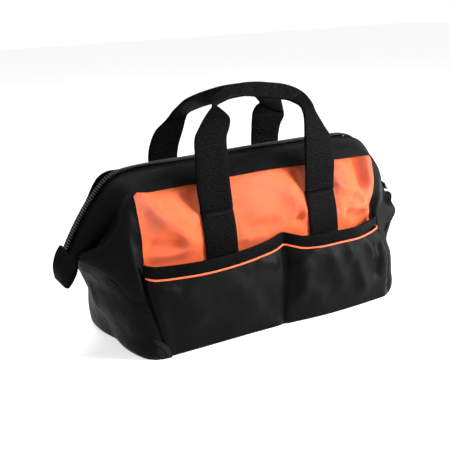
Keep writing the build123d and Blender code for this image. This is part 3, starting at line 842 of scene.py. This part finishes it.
EAR_PATCH, LOWER_PATCH = (73, 91), (41, 61)
WALL_EDGE_HEIGHTS = (22.5, 38.0, 54.0, 75.0, 97.0, 120.0, 142.0, 157.5)
EAR_ROWS = [
    # control points of the right front ear beyond the wall's side edge, up to the end of the zip. Each row
    # goes from under the lower gusset, over the crease, up the face, over the fold and back under the band.
    [(154, -54, 25), (157.5, -64, 52), (160.5, -63, 74), (162, -60, 94), (162.8, -56, 113),
     (162.3, -50, 132), (161, -43.5, 147), (160, -36.5, 154.5), (158.5, -25, 153), (157, -9, 150.5)],
    [(166, -44, 47), (169.5, -53, 69), (172, -53, 84), (173.2, -51.5, 98), (173.2, -50, 110),
     (172.5, -47.5, 121), (171.8, -43.5, 129), (170.5, -37.5, 131.5), (168.5, -25, 129.5),
     (168, -9, 129)],
    [(177, -33, 70), (181, -40.5, 84), (183.5, -40.8, 92), (184.5, -40.5, 99), (184.5, -40, 106),
     (183.5, -38.5, 112), (182, -35.5, 116), (180.5, -31, 116.5), (178.5, -20, 114), (178, -8.5, 114)],
    [(187, -20, 81), (191.5, -28.5, 93), (193.5, -29, 98), (194.5, -29.3, 102), (194.3, -29, 105.5),
     (193, -27.5, 108.5), (191.5, -25, 109.8), (190, -21.5, 109.6), (187, -14, 106), (185, -7.5, 104)],
    [(196, -10, 86), (200.5, -15.5, 97), (202, -16, 99.5), (202.8, -16.3, 101.5), (202.5, -16, 103.2),
     (201.5, -15, 104.6), (200, -13.5, 105), (198, -11, 104.5), (195, -8, 100), (192.5, -5.5, 97)],
    [(196, 1, 84), (199.5, 1, 93), (200.5, 1, 95), (201, 1, 96), (200.8, 1, 97), (200, 1, 97.5),
     (199, 1, 97.5), (197.5, 1, 97), (195, 1, 96), (192.5, 1, 94.5)],
]

LOWER_ROWS = [
    # control points of the right gusset below the creases, from the base up. Each row goes from the wall's
    # side edge round the corner to the middle of the end.
    [(140.5, -70.3, 1.2), (151.5, -68.5, 1), (161.5, -55, 1), (165, -28, 1), (163, 0, 1)],
    [(141, -71.2, 8), (153, -69.5, 7), (164.5, -56, 7), (168, -28, 7), (166, 0, 7)],
    [(142.5, -70.6, 20), (153.5, -69, 21), (165.5, -55, 23), (172, -28, 24), (171.5, 0, 24)],
    [(146, -68.6, 37), (155.5, -66.5, 41), (168, -52, 44), (178, -26, 44), (182, 0, 44)],
    [(149, -66.6, 50), (157.5, -64, 56), (170.5, -50, 60), (181, -27, 60), (186, 0, 57)],
    [(151, -64.6, 60), (164, -57.5, 66), (177, -44, 76), (186, -26, 79), (184, 0, 68)],
    [(153, -60, 64), (170, -50, 72), (187, -32.5, 88), (196, -16, 92.5), (197.5, 0, 86)],
]


def quarter(rows, slack):
    """Rows of control points of one quarter of the bag, on its slack end when slack is true."""
    return [[drawn(Vector(p)) if slack else Vector(p) for p in row] for row in rows]


def ear_grid(slack):
    """Ear of the right front quarter. Rows run from a seam strip behind the wall's cloth, round its side edge
    and on to the end of the zip."""
    def edge(reach, lift, off):
        """Line beside the wall's side edge, reach beyond it and off in front of the wall's face."""
        return flipped([wall_point(-edge_x(z) - reach, z + lift, off) for z in WALL_EDGE_HEIGHTS], x=-1)

    behind = edge(-7.0, 0.0, -7.0) + [(141, -28, 163.5), (141, -9, 165)]
    seam = edge(-0.8, 0.0, -3.2) + [(147.5, -28, 163.5), (147.5, -9, 165)]
    side_edge = edge(0.2, 0.0, 0.4) + [(149, -28, 163.5), (149, -9, 165)]
    next_edge = edge(2.2, 1.0, 0.2) + [(150.5, -27, 162.5), (150.5, -9, 164)]
    ear = patch(quarter([behind, seam, side_edge, next_edge, *EAR_ROWS], slack), *EAR_PATCH)

    def unevenness(p):
        waves = 1.3 * mottle(p, 20, 5.0) + 0.3 * mottle(p, 9, 2.0)
        return waves * smooth((p.x - 151) / 8) * smooth((ZIP_END_X - p.x) / 20)

    return pushed(ear, unevenness)


def gusset(half, x):
    """Everything at one end of the bag. x is 1 for the right end and -1 for the left."""
    halves = []
    for side, y in (("front", 1), ("rear", -1)):
        slack = x * y > 0
        ear = [row[::-1] for row in ear_grid(slack)]
        cloth = sheet_mesh(f"{side}_{half}_ear", mirrored(ear, x, y))
        finish_piece(cloth, BLACK, None)
        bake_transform(cloth)
        halves.append(patch(quarter(LOWER_ROWS, slack), *LOWER_PATCH))
    front, rear = halves
    lower = []
    for row, other in zip(front, rear):
        lower.append(row + flipped(reversed(other[:-1]), y=-1))

    def unevenness(p):
        waves = 2.0 * mottle(p, 30, 9.0) + 0.8 * mottle(p, 12, 4.0)
        return waves * smooth((p.z - 4) / 20) * smooth((abs(p.x) - 146) / 10)

    cloth = sheet_mesh(f"{half}_gusset_cloth", mirrored(pushed(lower, unevenness), x))
    finish_piece(cloth, BLACK, None)
    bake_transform(cloth)
    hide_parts(f"{half}_gusset")


gusset("right", 1)
gusset("left", -1)

# ---- straps and handles

HANDLE_LINE = [
    # side view of the free handle: y and z
    (0, -53.1, 135.3), (0, -51.6, 178), (0, -43.5, 211), (0, -17, 236), (0, -5, 250.5),
]
HANDLE_FINE = curve_through(HANDLE_LINE, 60)


def handle_y(z):
    """Where the front handle's sheet of webbing is at height z."""
    return at_height(HANDLE_FINE, z).y


def leg_y(z):
    """Where the upright legs are at height z. Their tops stand a little in front of the grip."""
    return handle_y(z) - 8.0 * smooth((z - 200) / 32)


def flat_section(centre, across, out, width, thickness):
    """Closed loop of webbing cut across: two flat faces with rounded edges."""
    half, edge = width / 2, thickness / 2
    loop = []
    for sign in (1, -1):
        for share in (0.94, 0.6, 0.2, -0.2, -0.6, -0.94):
            loop.append(centre + across * share * sign * (half - edge) + out * edge * sign)
        for angle in (120, 150, 180, 210, 240):
            turn = math.radians(angle)
            corner = centre - across * sign * (half - edge)
            loop.append(corner + across * sign * math.cos(turn) * edge + out * sign * math.sin(turn) * edge)
    return loop


def webbing_loops(first_edge, second_edge, thick_start, thick_end, count, wave_seed):
    """Cross sections of webbing between two edge lines in 3D, from thickness thick_start to thick_end."""
    a_line, b_line = curve_through(first_edge, count), curve_through(second_edge, count)
    centres = [(a + b) / 2 for a, b in zip(a_line, b_line)]
    loops = []
    for k, (centre, along) in enumerate(zip(centres, tangents(centres))):
        across = a_line[k] - b_line[k]
        width = max(across.length, 1.2)
        across.normalize()
        thickness = min(thick_start + (thick_end - thick_start) * smooth(k / (count - 1)), width * 0.9)
        out = along.cross(across).normalized()
        ripple = out * 0.6 * mottle(centre, 14, wave_seed)
        loops.append(flat_section(centre + ripple, across, out, width, thickness))
    return loops


def webbing(name, first_edge, second_edge, thick_start, thick_end, count, wave_seed):
    """A closed piece of webbing between two edge lines."""
    return loop_mesh(name, webbing_loops(first_edge, second_edge, thick_start, thick_end, count, wave_seed))


def on_handle_line(points):
    """3D points of a handle's edge from X, Z and lean. Lean 1 keeps a point on the leg and 0 on the grip."""
    return [Vector((x, leg_y(z) * lean + handle_y(z) * (1 - lean), z)) for x, z, lean in points]


HANDLE_EDGES = {
    # edge lines as X, Z and lean, seen from the wall that the handle is sewn to. wide is the leg that ends in
    # a folded tip. slim is the other leg. It goes on as the grip from point "turn", and ends behind the tip.
    "front": {
        "wide_out": [
            (-84, 134, 1), (-87, 162, 1), (-86, 188, 1), (-83.4, 207, 1), (-76.5, 217, 1),
            (-66, 225.5, 1), (-56, 231.5, 1), (-46.5, 236.5, 1),
        ],
        "wide_in": [
            (-46, 134, 1), (-48.3, 162, 1), (-48.5, 188, 1), (-46.5, 205, 1), (-41.5, 214, 1),
            (-37, 223, 1), (-40.5, 230, 1), (-45.5, 235.5, 1),
        ],
        "slim_out": [
            (84, 134, 1), (85.5, 165, 1), (83.6, 190, 1), (76, 204, 1), (69.5, 218, 1), (70, 228, 1),
            (69.5, 237, 0.5), (55, 246, 0), (27, 251, 0), (5, 252.8, 0), (-16, 251, 0), (-31, 246, 0),
            (-41, 240, 0), (-48, 233, 0.3),
        ],
        "slim_in": [
            (46, 134, 1), (46.5, 165, 1), (48, 190, 1), (50, 204, 1), (52, 217, 1), (52, 226, 1),
            (47, 231, 0.5), (36, 233.5, 0), (18, 236.5, 0), (0, 239.3, 0), (-18, 238.8, 0),
            (-30, 236.5, 0), (-39, 234, 0), (-47, 230, 0.3),
        ],
        "turn": 6,
    },
    "rear": {
        "wide_out": [
            (-84, 134, 1), (-85.5, 158, 1), (-85, 176, 1), (-86.5, 192, 1), (-91, 203, 1), (-88, 209, 1),
            (-76, 215.5, 1), (-64, 221, 1),
        ],
        "wide_in": [
            (-46, 134, 1), (-46.5, 160, 1), (-46.5, 178, 1), (-46, 192, 1), (-45.5, 204, 1),
            (-46, 212, 1), (-48, 219, 1), (-53, 223, 1),
        ],
        "slim_out": [
            (84, 134, 1), (87, 160, 1), (87.5, 178, 1), (84.5, 193, 1), (79, 205, 1), (66.5, 215.5, 1),
            (62, 227, 0.7), (57, 239, 0), (41, 245, 0), (20, 249.5, 0), (-5, 251, 0), (-30, 247.5, 0),
            (-56, 238, 0), (-76, 227, 0.6), (-90.5, 208, 1),
        ],
        "slim_in": [
            (46, 134, 1), (50, 156, 1), (51.5, 170, 1), (49.8, 186, 1), (45, 203, 1), (41.5, 219, 1),
            (36, 225, 0.7), (27, 229.5, 0), (14, 232.5, 0), (0, 235.5, 0), (-14, 237.5, 0), (-30, 234, 0),
            (-42, 227, 0), (-52, 222, 0.6), (-72, 214, 1),
        ],
        "turn": 5,
    },
}
STATIONS_PER_SPAN = 10
WIDE_LEG_STATIONS = 78
LEG_THICK, TIP_THICK, GRIP_THICK = 2.4, 2.8, 4.6
STRAP_THICK, STRAP_FOOT_Z, STRAP_POINTS = 2.2, 72, 7
TAB_THICK, TAB_TIP_THICK = 3.4, 4.4


def handle(side, y):
    """Straps and handle of one wall. The rear handle is drawn like a front one and turned half round."""
    edges = HANDLE_EDGES[side]
    wide, slim = ("left", "right") if y > 0 else ("right", "left")

    def placed(key):
        return flipped(on_handle_line(edges[key]), y, y)

    wide_name = f"{side}_handle_{wide}_leg_webbing"
    wide_out, wide_in = placed("wide_out"), placed("wide_in")
    wide_leg = webbing(wide_name, wide_out, wide_in, LEG_THICK, TIP_THICK, WIDE_LEG_STATIONS, 1.0)
    finish_piece(wide_leg, WEB, side + "_handle", [f"{side}_handle_{wide}_leg"])
    count = (len(edges["slim_out"]) - 1) * STATIONS_PER_SPAN + 1
    loops = webbing_loops(placed("slim_out"), placed("slim_in"), LEG_THICK, GRIP_THICK, count, 4.0)
    turn = edges["turn"] * STATIONS_PER_SPAN
    slim_leg = loop_mesh(f"{side}_handle_{slim}_leg_webbing", loops[:turn + 1])
    finish_piece(slim_leg, WEB, side + "_handle", [f"{side}_handle_{slim}_leg"])
    grip = loop_mesh(f"{side}_handle_grip_webbing", loops[turn:])
    finish_piece(grip, GRIP, side + "_handle", [side + "_handle_grip"])
    rise = STITCH_Z + 2.0 - STRAP_FOOT_Z
    heights = [STRAP_FOOT_Z + rise * j / (STRAP_POINTS - 1) for j in range(STRAP_POINTS)]
    for name, x in (("left", -HANDLE_X), ("right", HANDLE_X)):
        edges_x = (x - WEBBING / 2, x + WEBBING / 2)
        first, second = ([wall_point(edge, z, 1.0) for z in heights] for edge in edges_x)
        if y < 0:
            first, second = flipped(second, y=-1), flipped(first, y=-1)
        strap = webbing(f"{side}_{name}_strap_webbing", first, second, STRAP_THICK, STRAP_THICK, 30, 2.0)
        finish_piece(strap, WEB, side + "_wall", [f"{side}_{name}_strap"])


handle("front", 1)
handle("rear", -1)


def end_tab(half, near, far):
    """Folded webbing over one end of the zip, between its near and its far edge in X and Z."""
    near_edge = [Vector((x, -WEBBING / 2, z)) for x, z in near]
    far_edge = [Vector((x, WEBBING / 2, z)) for x, z in far]
    piece = webbing(half + "_tab_webbing", far_edge, near_edge, TAB_THICK, TAB_TIP_THICK, 40, 6.0)
    finish_piece(piece, WEB, "hinge_ends", [half + "_end_tab"])


end_tab("left", [(-203.8, 101.7), (-204.8, 93.2), (-207.4, 85.6), (-212.2, 78.4), (-216.6, 74.6)],
        [(-206.5, 107.7), (-211.5, 101.5), (-214.6, 94.0), (-215.6, 85.0), (-214.5, 75.0)])
end_tab("right", [(192.0, 100.0), (194.5, 94.0), (196.5, 87.0), (197.0, 79.0), (196.0, 71.5)],
        [(204.5, 105.5), (208.0, 99.0), (209.0, 90.0), (207.5, 80.0), (204.0, 71.5)])

# ---- CAD nodes that stay

KEPT = {
    "base_panel": BLACK, "base_board": BOARD, "zip_slider": NICKEL, "zip_pull": NICKEL,
    "front_frame_tube": STEEL, "rear_frame_tube": STEEL,
    "left_pivot_rivet": STEEL, "right_pivot_rivet": STEEL,
}
for corner in ("front_left", "front_right", "rear_left", "rear_right"):
    KEPT[corner + "_foot"] = RUBBER
    KEPT[corner + "_bar_tack"] = THREAD
for node, material in KEPT.items():
    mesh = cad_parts[node].data
    mesh.materials.clear()
    mesh.materials.append(material)

# ---- stage, camera and light

CAMERA_PLACE = (-459.5, -727.5, 339.2)
CAMERA_TURNS = (-30.87, -15.78, -2.37)  # yaw, pitch and roll in degrees
PICTURE_WIDTH_PX = 450
FOCAL_LENGTH_PX = 801.6
SENSOR_WIDTH = 36.0


def camera():
    """Camera at the photograph's viewing angle."""
    place = metres(*CAMERA_PLACE)
    yaw, pitch, roll = (math.radians(a) for a in CAMERA_TURNS)
    forward = Vector((math.sin(-yaw) * math.cos(pitch), math.cos(yaw) * math.cos(pitch), math.sin(pitch)))
    right = Vector((math.cos(-yaw), -math.sin(-yaw), 0))
    up = right.cross(forward)
    tilted_right = right * math.cos(roll) + up * math.sin(roll)
    tilted_up = -right * math.sin(roll) + up * math.cos(roll)
    data = bpy.data.cameras.new("camera")
    data.sensor_width = SENSOR_WIDTH
    data.lens = FOCAL_LENGTH_PX / PICTURE_WIDTH_PX * SENSOR_WIDTH
    piece = bpy.data.objects.new("camera", data)
    bpy.context.scene.collection.objects.link(piece)
    turn = Matrix((tilted_right, tilted_up, -forward)).transposed()
    piece.matrix_world = Matrix.Translation(place) @ turn.to_4x4()
    bpy.context.scene.camera = piece


def lamp(name, place, target, size, power):
    """A soft square lamp at place, turned towards target. Both are in metres."""
    data = bpy.data.lights.new(name, "AREA")
    data.size = size
    data.energy = power
    piece = bpy.data.objects.new(name, data)
    bpy.context.scene.collection.objects.link(piece)
    piece.location = place
    piece.rotation_euler = (Vector(target) - Vector(place)).to_track_quat("-Z", "Y").to_euler()


def shows_background(tree):
    """1 for rays that show the background: from the camera, off a glossy surface or through a clear one."""
    path = tree.nodes.new("ShaderNodeLightPath")
    value = path.outputs["Is Camera Ray"]
    for name in ("Is Glossy Ray", "Is Transmission Ray"):
        node = tree.nodes.new("ShaderNodeMath")
        node.operation = "MAXIMUM"
        tree.links.new(value, node.inputs[0])
        tree.links.new(path.outputs[name], node.inputs[1])
        value = node.outputs[0]
    return value


FLOOR_HALF = 6000.0
FLOOR_Z = -0.05
FLOOR_GLOW = 0.62
WORLD_LIGHT = 0.30


def stage():
    """White floor that keeps a soft shadow, and white surroundings."""
    corners = []
    for x, y in ((-1, -1), (1, -1), (1, 1), (-1, 1)):
        corners.append(Vector((x * FLOOR_HALF, y * FLOOR_HALF, FLOOR_Z)))
    floor = make_mesh("floor", corners, [(0, 1, 2, 3)])
    nodes = Nodes("floor_white")
    nodes.shade("Base Color", (0.86, 0.86, 0.86, 1))
    nodes.shade("Roughness", 0.9)
    glow = nodes.maths("MULTIPLY", shows_background(nodes.tree), FLOOR_GLOW)
    nodes.shade("Emission Strength", glow)
    nodes.shade("Emission Color", (1, 1, 1, 1))
    floor.data.materials.append(nodes.material)
    world = bpy.data.worlds.new("studio")
    bpy.context.scene.world = world
    world.use_nodes = True
    tree = world.node_tree
    background = tree.nodes["Background"]
    background.inputs["Color"].default_value = (1, 1, 1, 1)
    level = tree.nodes.new("ShaderNodeMapRange")
    level.inputs["To Min"].default_value = WORLD_LIGHT
    level.inputs["To Max"].default_value = 1.0
    tree.links.new(shows_background(tree), level.inputs["Value"])
    tree.links.new(level.outputs[0], background.inputs["Strength"])


camera()
stage()
lamp("key", (0.98, -0.80, 0.54), (0, 0, 0.1), 0.52, 45)
lamp("fill", (-1.6, -0.9, 0.9), (0, 0, 0.1), 0.8, 3)
lamp("top", (-0.3, 0.4, 1.8), (0, 0, 0.1), 0.7, 16)
bpy.context.scene.view_settings.view_transform = "Standard"
